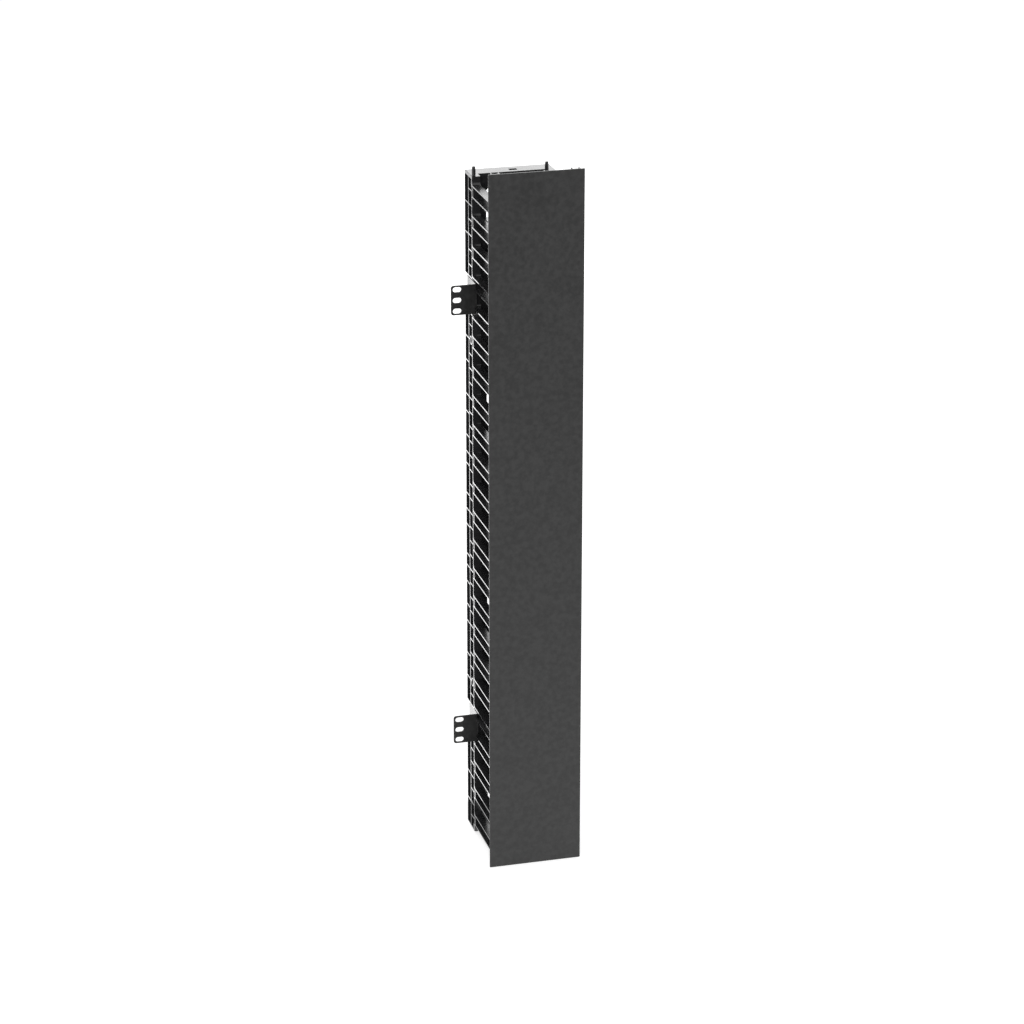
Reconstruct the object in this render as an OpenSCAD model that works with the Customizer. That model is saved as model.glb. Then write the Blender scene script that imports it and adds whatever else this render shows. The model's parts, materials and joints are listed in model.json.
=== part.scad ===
// Vertical cable manager for the side of an equipment rack.
// Two ribbed side walls carry rows of fingers, a back panel joins them, two steel brackets
// bolt to the rack, and a flat cover snaps over the finger tips and swings on them.
//
// Frame: X to the right, Y to the back, Z up, in millimetres. The origin is the middle of
// the four middle rack slots, on the back of the bracket flanges that meets the rack rail.

/* [Rack spacing] */
// Height of one rack unit, which is also the pitch of the fingers
rack_unit = 44.45; // [44.45]
// Pitch of the three slots in a bracket flange
slot_pitch = 15.875; // [15.875]
// Rack units between the two brackets
bracket_units = 15; // [15]
// Distance between the rack slots on the left and on the right
slot_span = 174.5; // [172:0.5:178]

/* [Side walls] */
// Width over the two side walls
body_w = 124.5; // [118:0.5:132]
// Thickness of a side wall
wall_t = 12.3; // [12:0.1:13]
// Depth of a wall's column, from the roots of the fingers to the back
column_d = 41; // [40:0.5:46]
// Distance from the rack rail's plane back to the roots of the fingers
root_set_back = 8; // [7:0.5:10]
// Thickness of the web on the inner side of a wall
web_t = 2; // [1.6:0.1:2.4]
// Thickness of the flanges and ribs
rib_t = 1.6; // [1.2:0.1:2]
// Height of the body above the middle of the top finger
top_rise = 21.5; // [20.5:0.5:22]
// Height of the body below the middle of the bottom finger
bottom_drop = 19.5; // [18.5:0.5:21]

/* [Fingers] */
// Number of fingers on a wall
finger_count = 23; // [23]
// Height of a finger
finger_h = 17.5; // [16:0.5:19]
// Length of a finger from its root to its front flange
finger_reach = 100.6; // [90:0.1:110]
// Radius of the slot's corner above a finger
slot_low_r = 5; // [3:0.5:7]
// Radius of the slot's corner below a finger
slot_high_r = 2; // [1:0.5:3]
// Radius of the round nose that the cover turns on
nose_r = 4.3; // [4.1:0.1:4.4]

/* [Back panel] */
// Depth of the back panel
panel_d = 27; // [24:0.5:30]
// Width of an opening through the back panel
pass_w = 75; // [50:1:78]
// Height of an opening through the back panel
pass_h = 50; // [40:1:56]
// Pitch of the openings through the back panel
pass_pitch = 304.8; // [300:0.1:306]

/* [Cover] */
// Width of the cover
cover_w = 138.9; // [136:0.1:141]
// Thickness of the cover
cover_t = 2.8; // [2.4:0.1:3]
// How far the cover stands above the body
cover_above = 32.1; // [10:0.1:40]
// How far the cover hangs below the body
cover_below = 4.1; // [1:0.1:10]

/* [Brackets] */
// Height of a bracket
bracket_h = 43.7; // [43:0.1:44.4]
// Thickness of the bracket steel
steel_t = 2; // [1.6:0.1:2]
// Width of a rack slot, end to end
slot_w = 12.5; // [11:0.5:13]
// Height of a rack slot
slot_h = 7.6; // [7:0.1:8]
// Distance from the slots' middle to the end of a flange
flange_edge = 9; // [8.5:0.5:11]

/* [Hidden] */

$fn = 48;
eps = 0.01;
plastic = [0.10, 0.10, 0.11];
cover_grey = [0.17, 0.17, 0.17];
steel = [0.07, 0.07, 0.075];
screw_black = [0.15, 0.15, 0.16];

// Heights
middle_finger = (finger_count - 1) / 2;
top_finger_z = middle_finger * rack_unit;
body_top = top_finger_z + top_rise;
body_bottom = -top_finger_z - bottom_drop;
cap_t = 2.5;
wall_top = body_top - cap_t;
bracket_z = bracket_units * rack_unit / 2;
recess_h = bracket_h + 9.3;

// Depths, all along Y
root_y = root_set_back;
back_y = root_y + column_d;
rib_y = root_y + 20.2;
panel_y = back_y - panel_d;
finger_end_y = root_y - finger_reach;
root_rib_y = root_y - 5;

// First and last finger of each wall moulding, from the top
wall_fingers = [[0, 4], [5, 8], [9, 13], [14, 17], [18, 22]];
// Heights of the ribs across the rear half of a column, above and below the middle
rear_ribs = [0, 24.5, 71, 89, 115, 151.5, 178, 230, 266.5, 422, 467];
// Heights of the joints between the back panel mouldings
panel_joints = [wall_top, 5.5 * rack_unit, 0, -5.5 * rack_unit, body_bottom];
// The openings through the back panel stand a little above an even spacing
pass_shift = 6.4;

// Hinge: the nose's axis lies this far inside the wall's outer plane
nose_inset = nose_r;
nose_y = finger_end_y - 7.4;
sweep_r = 6.7;
channel_gap = 0.35;
leg_t = 1.2;
lip_r = 0.85;
leg_centre = nose_r + channel_gap + lip_r;
cover_back_y = nose_y - 7.2;
channel_base_t = 1.4;

// Stacking pins and their sockets
pin_r = 2.8;
pin_tip_r = 2.3;
pin_h = 13.6;
pin_straight = 8;
shank_r = 2;
fit_gap = 0.05;
pin_y = root_y + 4.3;
left_pin_x = -body_w / 2 + 3.8;
right_pin_x = body_w / 2 - wall_t - 1.3;
socket_bore_r = pin_r + 0.1;
socket_r = 3.5;
socket_drop = 1.5;
socket_l = 11;
boss_r = 4.8;

// Bracket
leg_inset = 2.6;
leg_out = body_w / 2 - leg_inset;
leg_in = leg_out - steel_t;
bend_r = 1;
seat_gap = 0.2;

// Screws
wall_screw_y = root_y + 31;
wall_screw_z = [48, 204, 390, 490];
bracket_screw_y = [root_y + 10, root_y + 30];
screw_head_h = 2.2;

function finger_z(i) = (middle_finger - i) * rack_unit;
function wall_z_high(s) = s == 0 ? wall_top : finger_z(wall_fingers[s][0]) + rack_unit / 2;
function wall_z_low(s) = s == len(wall_fingers) - 1 ? body_bottom
                       : finger_z(wall_fingers[s][1]) - rack_unit / 2;

// ---------------------------------------------------------------- helpers

// Extrudes a (Y, Z) outline along X
module along_x(length) {
    rotate([90, 0, 90]) linear_extrude(length) children();
}

// Extrudes an (X, Z) outline back along Y, from y0
module along_y(y0, length) {
    translate([0, y0 + length, 0]) rotate([90, 0, 0]) linear_extrude(length) children();
}

module rounded_box_2d(w, h, r) {
    square([w - 2 * r, h], center = true);
    square([w, h - 2 * r], center = true);
    for (sx = [-1, 1], sz = [-1, 1])
        translate([sx * (w / 2 - r), sz * (h / 2 - r)]) circle(r);
}

// A long hole with round ends, lying along X
module slot_2d(w, h) {
    square([w - h, h], center = true);
    for (s = [-1, 1]) translate([s * (w - h) / 2, 0]) circle(h / 2);
}

// Material left in a square inside corner by a round cutter
module fillet_2d(r) {
    difference() {
        translate([-r, 0]) square(r);
        translate([-r, r]) circle(r);
    }
}

// A pan head with a cross recess, its underside on the XY plane and its shank below
module pan_screw(head_r, thread_r, length) {
    difference() {
        union() {
            cylinder(h = 1.3, r = head_r);
            translate([0, 0, 1.3]) cylinder(h = screw_head_h - 1.3, r1 = head_r, r2 = head_r - 1.4);
            translate([0, 0, -length]) cylinder(h = length + eps, r = thread_r);
        }
        for (turn = [0, 90]) rotate(turn)
            translate([-head_r * 0.55, -0.5, 1]) cube([head_r * 1.1, 1, screw_head_h]);
    }
}

// ---------------------------------------------------------------- side walls
// A wall is drawn in (u, y, z), with u = 0 on its outer plane and growing inwards.

module left_side() {
    translate([-body_w / 2, 0, 0]) children();
}

module right_side() {
    mirror([1, 0, 0]) left_side() children();
}

// Outline of one wall moulding, with its fingers and the round corners of its slots
module wall_outline(s) {
    translate([root_y, wall_z_low(s)]) square([column_d, wall_z_high(s) - wall_z_low(s)]);
    for (i = [wall_fingers[s][0] : wall_fingers[s][1]])
        translate([0, finger_z(i)]) {
            translate([finger_end_y, -finger_h / 2]) square([finger_reach + eps, finger_h]);
            translate([root_y, finger_h / 2]) fillet_2d(slot_low_r);
            translate([root_y, -finger_h / 2]) mirror([0, 1]) fillet_2d(slot_high_r);
        }
}

// A moulded pocket, open on the outer face and closed by the web
module pocket(y_low, y_high, z_low, z_high) {
    translate([-1, y_low, z_low])
        cube([wall_t - web_t + 1, y_high - y_low, z_high - z_low]);
}

// Pockets between two flanges of a finger, split by the rib near its root
module finger_pockets(i) {
    half = finger_h / 2 - rib_t;
    z = finger_z(i);
    pocket(finger_end_y + rib_t, root_rib_y - rib_t / 2, z - half, z + half);
    pocket(root_rib_y + rib_t / 2, root_y, z - half, z + half);
}

// True where a band of heights reaches into the seat of a bracket
function meets_seat(z_low, z_high) =
    abs((z_low + z_high) / 2) + (z_high - z_low) / 2 > bracket_z - recess_h / 2
    && abs((z_low + z_high) / 2) - (z_high - z_low) / 2 < bracket_z + recess_h / 2;

// A pocket that stops short of the bracket seats
module column_pocket(y_low, y_high, z_low, z_high) {
    if (meets_seat(z_low, z_high)) {
        seat_low = bracket_z - recess_h / 2 - rib_t;
        seat_high = bracket_z + recess_h / 2 + rib_t;
        side = z_high + z_low > 0 ? 1 : -1;
        near = min(abs(z_low), abs(z_high));
        far = max(abs(z_low), abs(z_high));
        if (near < seat_low) flip_z(side) pocket(y_low, y_high, near, seat_low);
        if (far > seat_high) flip_z(side) pocket(y_low, y_high, seat_high, far);
    } else {
        pocket(y_low, y_high, z_low, z_high);
    }
}

module flip_z(side) {
    if (side > 0) children();
    else mirror([0, 0, 1]) children();
}

// Pockets of the front half of the column, one to each half rack unit
module front_channel_pockets(s) {
    y_low = root_y + rib_t;
    y_high = rib_y - rib_t / 2;
    first = wall_fingers[s][0];
    last = wall_fingers[s][1];
    for (i = [first : last], half = [0, 1]) {
        middle = finger_z(i) + (half - 0.5) * rack_unit / 2;
        high = min(middle + rack_unit / 4 - rib_t / 2, wall_top - rib_t);
        low = max(middle - rack_unit / 4 + rib_t / 2, body_bottom + rib_t);
        column_pocket(y_low, y_high, low, high);
    }
}

// Pockets of the rear half of the column, between the ribs in the rear_ribs list
module rear_channel_pockets() {
    y_low = rib_y + rib_t / 2;
    y_high = back_y - rib_t;
    count = len(rear_ribs);
    for (n = [0 : count - 1], side = [-1, 1]) {
        low = rear_ribs[n] + rib_t / 2;
        end = side > 0 ? wall_top : -body_bottom;
        high = n < count - 1 ? rear_ribs[n + 1] - rib_t / 2 : end - rib_t;
        column_pocket(y_low, y_high, side > 0 ? low : -high, side > 0 ? high : -low);
    }
}

// Ring boss in the front half of the column, at the middle of a finger
module ring_boss(z) {
    translate([0, root_y + 8.4, z]) rotate([0, 90, 0]) cylinder(h = wall_t, r = 6.5);
}

module ring_boss_core(z) {
    translate([-1, root_y + 8.4, z]) rotate([0, 90, 0]) {
        cylinder(h = wall_t - web_t + 1, r = 4.8);
        cylinder(h = wall_t + 2, r = 2.2);
    }
}

// Tip of a finger: the round nose stands on a slanting neck, which leaves room for the
// legs of the cover's channel to swing round the nose
module finger_tip_2d() {
    translate([nose_inset, nose_y]) {
        circle(nose_r);
        rotate(40) translate([nose_r - 1, -1.5]) square([6, 3]);
    }
    difference() {
        translate([wall_t - 5.3, finger_end_y - 4.9]) square([5.3, 4.9 + rib_t]);
        translate([nose_inset, nose_y]) circle(sweep_r);
    }
}

module finger_tip(i) {
    translate([0, 0, finger_z(i) - finger_h / 2]) linear_extrude(finger_h) finger_tip_2d();
}

// Room in the outer face and in the back for a bracket and its bend
module bracket_recess(z) {
    translate([-1, -steel_t - 1, z - recess_h / 2])
        cube([leg_inset + steel_t + seat_gap + 1, back_y + steel_t + 2, recess_h]);
    translate([-1, back_y - steel_t - seat_gap, z - recess_h / 2])
        cube([body_w, steel_t + 1, recess_h]);
}

module bracket_screw_holes(z) {
    for (y = bracket_screw_y) translate([leg_inset, y, z]) rotate([0, 90, 0])
        cylinder(h = 9, r = 2 + fit_gap);
}

module wall_screw_holes(s) {
    for (n = wall_screw_z, side = [-1, 1])
        if (side * n < wall_z_high(s) && side * n > wall_z_low(s))
            translate([0, wall_screw_y, side * n]) rotate([0, 90, 0])
                cylinder(h = wall_t + 1, r = 2 + fit_gap);
}

// Boss for a stacking pin's shank under the top of the column
module pin_boss(pin_u) {
    translate([pin_u, pin_y, wall_top - 14]) cylinder(h = 14, r = 3.6);
}

// Boss for a socket at the foot of the column, cut off at the wall's outer plane
module socket_boss(pin_u) {
    intersection() {
        translate([pin_u, pin_y, body_bottom]) cylinder(h = 10, r = boss_r);
        translate([0, root_y, body_bottom]) cube([wall_t * 2, column_d, 20]);
    }
}

// One moulding of a side wall; pin_u is where the stacking pin stands, in u
module wall(s, pin_u) {
    top = s == 0;
    bottom = s == len(wall_fingers) - 1;
    difference() {
        union() {
            difference() {
                along_x(wall_t) wall_outline(s);
                for (i = [wall_fingers[s][0] : wall_fingers[s][1]]) finger_pockets(i);
                front_channel_pockets(s);
                rear_channel_pockets();
            }
            for (i = [wall_fingers[s][0] : wall_fingers[s][1]]) finger_tip(i);
            if (s == 1) ring_boss(finger_z(5));
            if (s == 3) ring_boss(finger_z(17));
            if (top) pin_boss(pin_u);
            if (top) translate([0, root_y, wall_top - eps]) cube([0.6, column_d, cap_t - 0.3]);
            if (bottom) socket_boss(pin_u);
        }
        if (s == 1) ring_boss_core(finger_z(5));
        if (s == 3) ring_boss_core(finger_z(17));
        if (top) bracket_recess(bracket_z);
        if (top) bracket_screw_holes(bracket_z);
        if (bottom) bracket_recess(-bracket_z);
        if (bottom) bracket_screw_holes(-bracket_z);
        if (top) translate([pin_u, pin_y, wall_top - 10]) cylinder(h = 12, r = shank_r + fit_gap);
        if (bottom) translate([pin_u, pin_y, body_bottom - 1])
            cylinder(h = socket_l - socket_drop + 1, r = socket_r + fit_gap);
        if (bottom && pin_u < wall_t / 2)
            translate([-1, pin_y - 1.6, body_bottom - 1]) cube([pin_u + 1, 3.2, 11]);
        wall_screw_holes(s);
    }
}

left_pin_u = left_pin_x + body_w / 2;
right_pin_u = body_w / 2 - right_pin_x;

module left_wall_1() { color(plastic) left_side() wall(0, left_pin_u); }
module left_wall_2() { color(plastic) left_side() wall(1, left_pin_u); }
module left_wall_3() { color(plastic) left_side() wall(2, left_pin_u); }
module left_wall_4() { color(plastic) left_side() wall(3, left_pin_u); }
module left_wall_5() { color(plastic) left_side() wall(4, left_pin_u); }
module right_wall_1() { color(plastic) right_side() wall(0, right_pin_u); }
module right_wall_2() { color(plastic) right_side() wall(1, right_pin_u); }
module right_wall_3() { color(plastic) right_side() wall(2, right_pin_u); }
module right_wall_4() { color(plastic) right_side() wall(3, right_pin_u); }
module right_wall_5() { color(plastic) right_side() wall(4, right_pin_u); }

// Screws through the web of a wall into the side of the back panel
module wall_screws() {
    for (n = wall_screw_z, side = [-1, 1])
        translate([wall_t - web_t, wall_screw_y, side * n]) rotate([0, -90, 0])
            pan_screw(3.8, 2, web_t + 7);
}

module left_wall_screws() { color(screw_black) left_side() wall_screws(); }
module right_wall_screws() { color(screw_black) right_side() wall_screws(); }

// ---------------------------------------------------------------- back panel

panel_w = body_w - 2 * wall_t;
skin_t = 2.2;
panel_rim = 2;

module pass_outline(grow) {
    rounded_box_2d(pass_w + 2 * grow, pass_h + 2 * grow, 5 + grow);
}

// A tray open to the back, stiffened by ribs, with a collared opening through it
module back_panel(n) {
    z_high = panel_joints[n];
    z_low = panel_joints[n + 1];
    pass_z = pass_shift + (1.5 - n) * pass_pitch;
    bay_x = [-panel_w / 2 + panel_rim, -pass_w / 2 - panel_rim, -pass_w / 2, pass_w / 2,
             pass_w / 2 + panel_rim, panel_w / 2 - panel_rim];
    rows = ceil((z_high - z_low) / rack_unit);
    difference() {
        union() {
            difference() {
                translate([-panel_w / 2, panel_y, z_low]) cube([panel_w, panel_d, z_high - z_low]);
                for (row = [0 : rows - 1], bay = [0 : 2]) {
                    low = z_low + row * (z_high - z_low) / rows + (row == 0 ? panel_rim : rib_t / 2);
                    high = z_low + (row + 1) * (z_high - z_low) / rows
                         - (row == rows - 1 ? panel_rim : rib_t / 2);
                    translate([bay_x[2 * bay], panel_y + skin_t, low])
                        cube([bay_x[2 * bay + 1] - bay_x[2 * bay], panel_d, high - low]);
                }
            }
            along_y(panel_y, panel_d) translate([0, pass_z]) pass_outline(panel_rim);
            for (z = wall_screw_z, side = [-1, 1], x = [-1, 1])
                if (side * z < z_high && side * z > z_low)
                    translate([x > 0 ? panel_w / 2 - 9 : -panel_w / 2, wall_screw_y, side * z])
                        rotate([0, 90, 0]) cylinder(h = 9, r = 4);
        }
        along_y(panel_y - 1, panel_d + 2) translate([0, pass_z]) pass_outline(0);
        for (z = wall_screw_z, side = [-1, 1])
            if (side * z < z_high && side * z > z_low)
                for (x = [-1, 1]) translate([x > 0 ? panel_w / 2 - 8 : -panel_w / 2 - 1,
                                             wall_screw_y, side * z])
                    rotate([0, 90, 0]) cylinder(h = 9, r = 2 + fit_gap);
        for (side = [-1, 1])
            if (side * bracket_z < z_high && side * bracket_z > z_low)
                translate([-body_w / 2, back_y - steel_t - seat_gap, side * bracket_z - recess_h / 2])
                    cube([body_w, steel_t + 1, recess_h]);
        if (n == 0)
            for (x = [-27.6, -15.8]) translate([x, panel_y - 1, z_high - panel_rim - 2.4])
                cube([2.4, skin_t + 2, 2.4 + eps]);
    }
}

module back_panel_1() { color(plastic) back_panel(0); }
module back_panel_2() { color(plastic) back_panel(1); }
module back_panel_3() { color(plastic) back_panel(2); }
module back_panel_4() { color(plastic) back_panel(3); }

// ---------------------------------------------------------------- top cap and stacking

cap_inset = 1;

// Covers the top of the columns and of the back panel, with a slot for a cable tie
module top_cap() {
    cap_w = body_w - 2 * cap_inset;
    color(plastic) translate([0, 0, wall_top]) linear_extrude(cap_t) difference() {
        union() {
            translate([-cap_w / 2, panel_y]) square([cap_w, panel_d]);
            for (side = [-1, 1])
                translate([side < 0 ? -cap_w / 2 : body_w / 2 - wall_t, root_y - 1])
                    square([wall_t - cap_inset, panel_y - root_y + 1 + eps]);
            translate([right_pin_x, pin_y]) circle(4.4);
            translate([right_pin_x, pin_y - 4.4]) square([6, 8.8]);
        }
        translate([4.5, root_y + 25]) square([11.5, 8], center = true);
        for (x = [left_pin_x, right_pin_x])
            translate([x, pin_y]) circle(shank_r + fit_gap);
    }
}

// A shouldered pin: a shank held in the column and a tapered end that finds the next
// manager's socket
module stacking_pin(x) {
    translate([x, pin_y, 0]) rotate_extrude() polygon([
        [0, wall_top - 9.5], [shank_r, wall_top - 9.5], [shank_r, body_top],
        [pin_r, body_top], [pin_r, body_top + pin_straight],
        [pin_tip_r, body_top + pin_h - 0.5], [pin_tip_r - 0.5, body_top + pin_h],
        [0, body_top + pin_h]]);
}

module left_stacking_pin() { color(plastic) stacking_pin(left_pin_x); }
module right_stacking_pin() { color(plastic) stacking_pin(right_pin_x); }

// A bush at the foot of a column that takes the pin of the manager below
module socket(x) {
    translate([x, pin_y, body_bottom - socket_drop]) difference() {
        cylinder(h = socket_l, r = socket_r);
        translate([0, 0, -1]) cylinder(h = socket_l + 2, r = socket_bore_r);
    }
}

module left_socket() { color(plastic) socket(left_pin_x); }
module right_socket() { color(plastic) socket(right_pin_x); }

// ---------------------------------------------------------------- brackets

// Quarter of a bend in the sheet, with its open side towards +X and +Y
module bend_2d() {
    intersection() {
        difference() {
            circle(bend_r + steel_t);
            circle(bend_r);
        }
        translate([-bend_r - steel_t, -bend_r - steel_t]) square(bend_r + steel_t);
    }
}

// Right half of the bracket in plan: flange, leg along the wall, and base across the back
module half_hat_2d() {
    flange_end = slot_span / 2 + flange_edge;
    translate([leg_out + bend_r, -steel_t]) square([flange_end - leg_out - bend_r, steel_t]);
    translate([leg_out + bend_r, bend_r]) bend_2d();
    translate([leg_in, bend_r]) square([steel_t, back_y - steel_t - 2 * bend_r]);
    translate([leg_in - bend_r, back_y - steel_t - bend_r]) rotate(180) bend_2d();
    translate([-eps, back_y - steel_t]) square([leg_in - bend_r + eps, steel_t]);
}

// One steel bracket, bent from a strip into a hat, with three rack slots on each flange
module bracket(z) {
    flange_end = slot_span / 2 + flange_edge;
    corner_r = 4;
    translate([0, 0, z]) difference() {
        intersection() {
            translate([0, 0, -bracket_h / 2]) linear_extrude(bracket_h) {
                half_hat_2d();
                mirror([1, 0]) half_hat_2d();
            }
            along_y(-steel_t - 1, back_y + steel_t + 2)
                rounded_box_2d(2 * flange_end, bracket_h, corner_r);
        }
        for (side = [-1, 1], row = [-1 : 1])
            along_y(-steel_t - 1, steel_t + 2)
                translate([side * slot_span / 2, row * slot_pitch]) slot_2d(slot_w, slot_h);
        for (y = bracket_screw_y) translate([-leg_out - 1, y, 0]) rotate([0, 90, 0])
            cylinder(h = 2 * leg_out + 2, r = 2.4);
    }
}

module upper_bracket() { color(steel) bracket(bracket_z); }
module lower_bracket() { color(steel) bracket(-bracket_z); }

// Screws through the bracket's legs into the seats of the two walls
module bracket_screws(z) {
    for (y = bracket_screw_y, side = [0, 1]) mirror([side, 0, 0])
        translate([-leg_out, y, z]) rotate([0, -90, 0]) pan_screw(4, 2, 8);
}

module upper_bracket_screws() { color(screw_black) bracket_screws(bracket_z); }
module lower_bracket_screws() { color(screw_black) bracket_screws(-bracket_z); }

// ---------------------------------------------------------------- cover

cover_h = body_top + cover_above - (body_bottom - cover_below);

// Flat panel with full round long edges
module cover_panel() {
    color(cover_grey) translate([0, cover_back_y - cover_t / 2, body_bottom - cover_below])
        linear_extrude(cover_h) {
            square([cover_w - cover_t, cover_t], center = true);
            for (side = [-1, 1]) translate([side * (cover_w - cover_t) / 2, 0]) circle(cover_t / 2);
        }
}

// Channel behind a long edge of the cover; its two legs clip round the noses of the fingers
module hinge_channel() {
    leg_end = nose_y + 1.5 - lip_r;
    translate([0, 0, body_bottom - cover_below]) linear_extrude(cover_h) {
        translate([-leg_centre - leg_t / 2, cover_back_y])
            square([2 * leg_centre + leg_t, channel_base_t]);
        for (side = [-1, 1]) {
            translate([side * leg_centre - leg_t / 2, cover_back_y])
                square([leg_t, leg_end - cover_back_y]);
            translate([side * leg_centre, leg_end]) circle(lip_r);
        }
    }
}

module left_hinge_channel() {
    color(plastic) left_side() translate([nose_inset, 0, 0]) hinge_channel();
}

module right_hinge_channel() {
    color(plastic) right_side() translate([nose_inset, 0, 0]) hinge_channel();
}

left_wall_1();
left_wall_2();
left_wall_3();
left_wall_4();
left_wall_5();
right_wall_1();
right_wall_2();
right_wall_3();
right_wall_4();
right_wall_5();
back_panel_1();
back_panel_2();
back_panel_3();
back_panel_4();
top_cap();
left_stacking_pin();
right_stacking_pin();
left_socket();
right_socket();
left_wall_screws();
right_wall_screws();
upper_bracket();
lower_bracket();
upper_bracket_screws();
lower_bracket_screws();
cover_panel();
left_hinge_channel();
right_hinge_channel();
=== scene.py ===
"""Looks of a vertical cable manager: black moulded side walls with fingers, a ribbed back
panel, two black steel rack brackets and a dark grey cover that swings on the fingers' tips."""

import json
import math

import bpy
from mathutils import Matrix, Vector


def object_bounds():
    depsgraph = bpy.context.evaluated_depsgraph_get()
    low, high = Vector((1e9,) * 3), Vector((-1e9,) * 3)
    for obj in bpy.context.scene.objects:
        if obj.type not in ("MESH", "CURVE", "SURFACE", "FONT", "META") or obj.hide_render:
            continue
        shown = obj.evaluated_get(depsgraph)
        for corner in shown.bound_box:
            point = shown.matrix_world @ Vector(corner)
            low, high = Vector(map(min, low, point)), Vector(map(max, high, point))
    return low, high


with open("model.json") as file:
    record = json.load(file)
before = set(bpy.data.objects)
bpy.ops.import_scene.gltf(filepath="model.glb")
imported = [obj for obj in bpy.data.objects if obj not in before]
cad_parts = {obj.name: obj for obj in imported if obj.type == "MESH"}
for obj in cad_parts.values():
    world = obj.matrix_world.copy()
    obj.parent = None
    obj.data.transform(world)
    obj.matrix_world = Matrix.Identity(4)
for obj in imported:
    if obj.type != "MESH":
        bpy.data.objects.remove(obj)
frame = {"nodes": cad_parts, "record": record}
cad_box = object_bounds()

MM = 0.001

# Paints and plastics by material slot. A colour drifts between dark and light, and its edges
# are rubbed paler. The grain is in cycles per metre.
FINISHES = {
    # Black moulded plastic of the walls, panel and cap, with a fine satin grain
    "wall_plastic": dict(
        shader_values={"IOR": 1.52, "Specular IOR Level": 0.5},
        dark=(0.015, 0.015, 0.016, 1), light=(0.020, 0.020, 0.021, 1),
        rubbed=(0.06, 0.06, 0.062, 1), rub_amount=0.5, roughness=(0.17, 0.25),
        grain=2600.0, bump_mm=0.02, bump_strength=0.2),
    # Dark grey satin paint of the cover
    "cover_finish": dict(
        shader_values={"IOR": 1.5, "Specular IOR Level": 0.4},
        dark=(0.016, 0.016, 0.016, 1), light=(0.019, 0.019, 0.019, 1),
        rubbed=(0.10, 0.10, 0.10, 1), rub_amount=0.4, roughness=(0.36, 0.42),
        grain=1800.0, bump_mm=0.02, bump_strength=0.2),
    # Black powder coat on bent steel, slightly dimpled
    "bracket_steel": dict(
        shader_values={"IOR": 1.5},
        dark=(0.007, 0.007, 0.007, 1), light=(0.010, 0.010, 0.010, 1),
        rubbed=(0.07, 0.07, 0.07, 1), rub_amount=0.5, roughness=(0.38, 0.46),
        grain=1200.0, bump_mm=0.03, bump_strength=0.3),
    # Black zinc on the screws
    "screw_steel": dict(
        shader_values={"Metallic": 0.85},
        dark=(0.03, 0.03, 0.032, 1), light=(0.05, 0.05, 0.053, 1),
        rubbed=(0.25, 0.25, 0.25, 1), rub_amount=0.6, roughness=(0.3, 0.4),
        grain=3000.0, bump_mm=0.01, bump_strength=0.2),
}

# How far the sharp edges of each slot's pieces are rounded
EDGE_MM = {"wall_plastic": 0.3, "cover_finish": 0.3, "bracket_steel": 0.3, "screw_steel": 0.15}
WELD_MM = 0.002
FLAT_ANGLE_DEG = 0.5
SHARP_ANGLE_DEG = 40

# Most values of a noise lie between these
NOISE_LOW, NOISE_HIGH = 0.35, 0.65
# The coarser layer of the grain, against the fine one
COARSE_SCALE, COARSE_DEPTH = 0.35, 0.6
# Pointiness of a flat face and of a fully rubbed edge
FLAT_FACE, RUBBED_EDGE = 0.5, 0.62
RUB_PATCH_SCALE = 140.0

FLOOR_HALF_SIZE = 14.0
FLOOR_DROP = 0.001
FLOOR_GREY = 0.8
FLOOR_LIFT = 0.62
# Depths between which the floor turns white in reflections
FADE_FROM_Y, FADE_TO_Y = -3.0, -0.1
ROOM_LIGHT = 0.5
LOW_LAMP_RISE = 0.01

CAMERA_PLACE = (-1.21144, -4.42473, 1.69824)
CAMERA_TILT_DEG = 20.276
CAMERA_TURN_DEG = 15.243
CAMERA_LENS_MM = 117.44
CAMERA_SENSOR_MM = 36.0

# ------------------------------------------------------------------ node helpers


def feed(tree, socket, value):
    """Links a value that is a socket, or sets a plain value."""
    if isinstance(value, bpy.types.NodeSocket):
        tree.links.new(value, socket)
    else:
        socket.default_value = value


def add_node(tree, kind, settings=None, **inputs):
    """A node with its settings and inputs. An input is named with underscores for spaces, or
    with an underscore and its number."""
    node = tree.nodes.new(kind)
    for key, value in (settings or {}).items():
        setattr(node, key, value)
    for key, value in inputs.items():
        socket = int(key[1:]) if key[0] == "_" else key.replace("_", " ")
        feed(tree, node.inputs[socket], value)
    return node


def maths(tree, operation, a, b=0.0, clamp=False):
    return add_node(tree, "ShaderNodeMath", {"operation": operation, "use_clamp": clamp},
                    _0=a, _1=b).outputs[0]


def noise(tree, place, scale, detail=3.0, roughness=0.5):
    return add_node(tree, "ShaderNodeTexNoise", Vector=place, Scale=scale, Detail=detail,
                    Roughness=roughness).outputs[0]


def remap(tree, value, low, high, to_low=0.0, to_high=1.0):
    return add_node(tree, "ShaderNodeMapRange", {"clamp": True}, Value=value, _1=low, _2=high,
                    _3=to_low, _4=to_high).outputs[0]


def blend_colours(tree, factor, a, b):
    return add_node(tree, "ShaderNodeMix", {"data_type": "RGBA"}, _0=factor, _6=a,
                    _7=b).outputs[2]


def new_group(name, inputs, outputs):
    """A shader node group with inputs (name, default) and the names of its outputs."""
    tree = bpy.data.node_groups.new(name, "ShaderNodeTree")
    for label, default in inputs:
        kind = "NodeSocketVector" if isinstance(default, tuple) else "NodeSocketFloat"
        socket = tree.interface.new_socket(label, in_out="INPUT", socket_type=kind)
        socket.default_value = default
    for label in outputs:
        tree.interface.new_socket(label, in_out="OUTPUT", socket_type="NodeSocketFloat")
    return tree, tree.nodes.new("NodeGroupInput"), tree.nodes.new("NodeGroupOutput")


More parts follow.
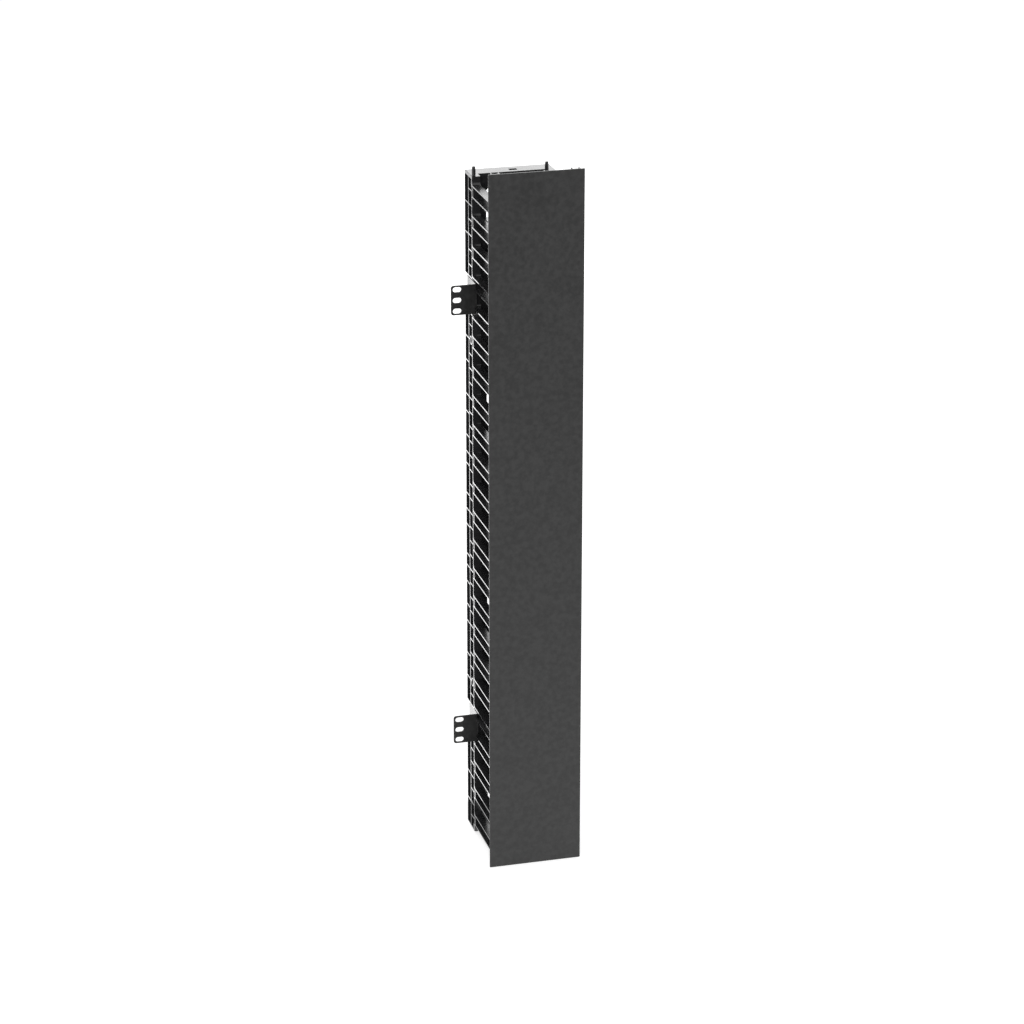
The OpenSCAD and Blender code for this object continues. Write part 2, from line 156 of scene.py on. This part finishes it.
def use_group(tree, group, **inputs):
    return add_node(tree, "ShaderNodeGroup", {"node_tree": group}, **inputs)


def empty_tree(block):
    """The cleared node tree of a material or world."""
    block.use_nodes = True
    block.node_tree.nodes.clear()
    return block.node_tree


# ------------------------------------------------------------------ shared effects


def make_moulded_grain():
    """Fine spark-eroded texture of a mould, with a slow drift in gloss over a moulding."""
    tree, start, end = new_group(
        "Moulded grain",
        [("Place", (0.0, 0.0, 0.0)), ("Grain size", 2600.0), ("Drift size", 16.0)],
        ["Height", "Drift"])
    place = start.outputs["Place"]
    fine_scale = start.outputs["Grain size"]
    fine = noise(tree, place, fine_scale, 2.0, 0.6)
    coarse = noise(tree, place, maths(tree, "MULTIPLY", fine_scale, COARSE_SCALE), 2.0)
    height = maths(tree, "ADD", fine, maths(tree, "MULTIPLY", coarse, COARSE_DEPTH))
    drift = noise(tree, place, start.outputs["Drift size"], 3.0)
    tree.links.new(height, end.inputs["Height"])
    tree.links.new(remap(tree, drift, NOISE_LOW, NOISE_HIGH), end.inputs["Drift"])
    return tree


def make_edge_rub():
    """Mask of the outer edges, broken up by noise, where handling has rubbed the finish."""
    tree, start, end = new_group(
        "Edge rub",
        [("Place", (0.0, 0.0, 0.0)), ("Amount", 0.5)],
        ["Mask"])
    pointiness = add_node(tree, "ShaderNodeNewGeometry").outputs["Pointiness"]
    edge = remap(tree, pointiness, FLAT_FACE, RUBBED_EDGE)
    patches = noise(tree, start.outputs["Place"], RUB_PATCH_SCALE, 4.0)
    patchy = remap(tree, patches, NOISE_LOW, NOISE_HIGH)
    mask = maths(tree, "MULTIPLY", maths(tree, "MULTIPLY", edge, patchy),
                 start.outputs["Amount"], clamp=True)
    tree.links.new(mask, end.inputs["Mask"])
    return tree


GRAIN = make_moulded_grain()
EDGE_RUB = make_edge_rub()

# ------------------------------------------------------------------ pieces


def make_finish(name, shader_values, dark, light, rubbed, rub_amount, roughness, grain,
                bump_mm, bump_strength):
    """A material from one row of FINISHES."""
    material = bpy.data.materials.new(name)
    tree = empty_tree(material)
    shader = tree.nodes.new("ShaderNodeBsdfPrincipled")
    output = tree.nodes.new("ShaderNodeOutputMaterial")
    tree.links.new(shader.outputs[0], output.inputs[0])
    for label, value in shader_values.items():
        shader.inputs[label].default_value = value

    place = tree.nodes.new("ShaderNodeTexCoord").outputs["Object"]
    texture = use_group(tree, GRAIN, Place=place, Grain_size=grain)
    rub = use_group(tree, EDGE_RUB, Place=place, Amount=rub_amount).outputs["Mask"]
    colour = blend_colours(tree, texture.outputs["Drift"], dark, light)
    colour = blend_colours(tree, rub, colour, rubbed)
    tree.links.new(colour, shader.inputs["Base Color"])
    gloss = remap(tree, texture.outputs["Drift"], 0.0, 1.0, roughness[0], roughness[1])
    tree.links.new(gloss, shader.inputs["Roughness"])
    bump = add_node(tree, "ShaderNodeBump", Strength=bump_strength, Distance=bump_mm * MM,
                    Height=texture.outputs["Height"])
    tree.links.new(bump.outputs[0], shader.inputs["Normal"])
    return material


def round_edges(piece, width_mm):
    """Joins the faces of a CAD piece and rounds its sharp edges a little."""
    weld = piece.modifiers.new("Join faces", "WELD")
    weld.merge_threshold = WELD_MM * MM
    flat = piece.modifiers.new("Merge flat faces", "DECIMATE")
    flat.decimate_type = "DISSOLVE"
    flat.angle_limit = math.radians(FLAT_ANGLE_DEG)
    bevel = piece.modifiers.new("Round edges", "BEVEL")
    bevel.width = width_mm * MM
    bevel.segments = 2
    bevel.limit_method = "ANGLE"
    bevel.angle_limit = math.radians(SHARP_ANGLE_DEG)
    bevel.use_clamp_overlap = True
    bevel.harden_normals = False
    normals = piece.modifiers.new("Smooth corners", "WEIGHTED_NORMAL")
    normals.keep_sharp = False


def dress_pieces():
    finishes = {slot: make_finish(slot, **row) for slot, row in FINISHES.items()}
    for part in frame["record"]["subparts"]:
        piece = frame["nodes"][part["node"]]
        slot = part["material_slot"]
        piece.data.materials.clear()
        piece.data.materials.append(finishes[slot])
        piece.data.shade_smooth()
        round_edges(piece, EDGE_MM[slot])


# ------------------------------------------------------------------ studio


def white_to_the_eye(tree, shader_socket, output, lift, mirrored):
    """Adds a plain glow that only the camera and clear pieces see, and in reflections one of
    the strength mirrored, which may be a socket."""
    path = tree.nodes.new("ShaderNodeLightPath")
    seen = maths(tree, "MAXIMUM", path.outputs["Is Camera Ray"],
                 path.outputs["Is Transmission Ray"])
    seen = maths(tree, "MULTIPLY", seen, lift)
    reflected = maths(tree, "MULTIPLY", path.outputs["Is Glossy Ray"], mirrored)
    glow = tree.nodes.new("ShaderNodeEmission")
    tree.links.new(maths(tree, "ADD", seen, reflected), glow.inputs["Strength"])
    total = tree.nodes.new("ShaderNodeAddShader")
    tree.links.new(shader_socket, total.inputs[0])
    tree.links.new(glow.outputs[0], total.inputs[1])
    tree.links.new(total.outputs[0], output.inputs[0])


def make_floor():
    """A pale matt floor just under the object, white to the camera but for the shadow."""
    half = FLOOR_HALF_SIZE
    z = cad_box[0].z - FLOOR_DROP
    mesh = bpy.data.meshes.new("floor")
    corners = [(-half, -half, z), (half, -half, z), (half, half, z), (-half, half, z)]
    mesh.from_pydata(corners, [], [(0, 1, 2, 3)])
    floor = bpy.data.objects.new("floor", mesh)
    bpy.context.scene.collection.objects.link(floor)
    material = bpy.data.materials.new("pale_floor")
    tree = empty_tree(material)
    matt = add_node(tree, "ShaderNodeBsdfDiffuse", Color=(FLOOR_GREY, FLOOR_GREY, FLOOR_GREY, 1))
    output = tree.nodes.new("ShaderNodeOutputMaterial")
    place = add_node(tree, "ShaderNodeTexCoord").outputs["Object"]
    depth = add_node(tree, "ShaderNodeSeparateXYZ", Vector=place).outputs["Y"]
    fade = remap(tree, depth, FADE_FROM_Y, FADE_TO_Y)
    white_to_the_eye(tree, matt.outputs[0], output, FLOOR_LIFT, fade)
    mesh.materials.append(material)


def make_world():
    """A dim white room for light, and pure white to the eye and in reflections."""
    world = bpy.data.worlds.new("studio")
    tree = empty_tree(world)
    path = tree.nodes.new("ShaderNodeLightPath")
    seen = maths(tree, "MAXIMUM", path.outputs["Is Camera Ray"], path.outputs["Is Glossy Ray"])
    seen = maths(tree, "MAXIMUM", seen, path.outputs["Is Transmission Ray"])
    room = add_node(tree, "ShaderNodeBackground", Color=(1, 1, 1, 1), Strength=ROOM_LIGHT)
    white = add_node(tree, "ShaderNodeBackground", Color=(1, 1, 1, 1), Strength=1.0)
    mix = tree.nodes.new("ShaderNodeMixShader")
    output = tree.nodes.new("ShaderNodeOutputWorld")
    tree.links.new(seen, mix.inputs[0])
    tree.links.new(room.outputs[0], mix.inputs[1])
    tree.links.new(white.outputs[0], mix.inputs[2])
    tree.links.new(mix.outputs[0], output.inputs[0])
    bpy.context.scene.world = world


def make_softbox(name, place, target, width, height, radiance):
    """A large soft lamp of a given brightness, turned to a point, and unseen by the camera."""
    lamp = bpy.data.lights.new(name, "AREA")
    lamp.shape = "RECTANGLE"
    lamp.size = width
    lamp.size_y = height
    lamp.energy = radiance * math.pi * width * height
    piece = bpy.data.objects.new(name, lamp)
    bpy.context.scene.collection.objects.link(piece)
    place, target = (Vector(p) for p in (place, target))
    piece.location = place
    piece.rotation_euler = (target - place).to_track_quat("-Z", "Y").to_euler()
    piece.visible_camera = False
    return piece


def make_lamps():
    make_softbox("key_lamp", place=(-2.6, -3.2, 2.6), target=(0, 0, 0),
                 width=2.0, height=2.0, radiance=1.5)
    make_softbox("back_lamp", place=(-0.2, 3.6, 1.3), target=(0, 0, 0.1),
                 width=3.6, height=3.2, radiance=1.6)
    # Reaches in between the fingers, and leaves no highlight
    front = make_softbox("front_lamp", place=(-1.0, -3.7, 1.45), target=(0, 0, 0),
                         width=1.5, height=1.5, radiance=8.0)
    front.visible_glossy = False
    # Lies on the floor behind the object, and shows in the edges that face left
    low = make_softbox("low_lamp", place=(-0.55, 1.7, cad_box[0].z + LOW_LAMP_RISE),
                       target=(-0.55, 1.7, 5), width=2.4, height=3.2, radiance=3.0)
    low.visible_diffuse = False


def make_camera():
    camera = bpy.data.cameras.new("camera")
    camera.lens = CAMERA_LENS_MM
    camera.sensor_width = CAMERA_SENSOR_MM
    piece = bpy.data.objects.new("camera", camera)
    bpy.context.scene.collection.objects.link(piece)
    piece.location = CAMERA_PLACE
    piece.rotation_euler = (math.radians(90 - CAMERA_TILT_DEG), 0, math.radians(-CAMERA_TURN_DEG))
    bpy.context.scene.camera = piece


make_camera()
dress_pieces()
make_floor()
make_world()
make_lamps()
bpy.context.scene.view_settings.view_transform = "Standard"
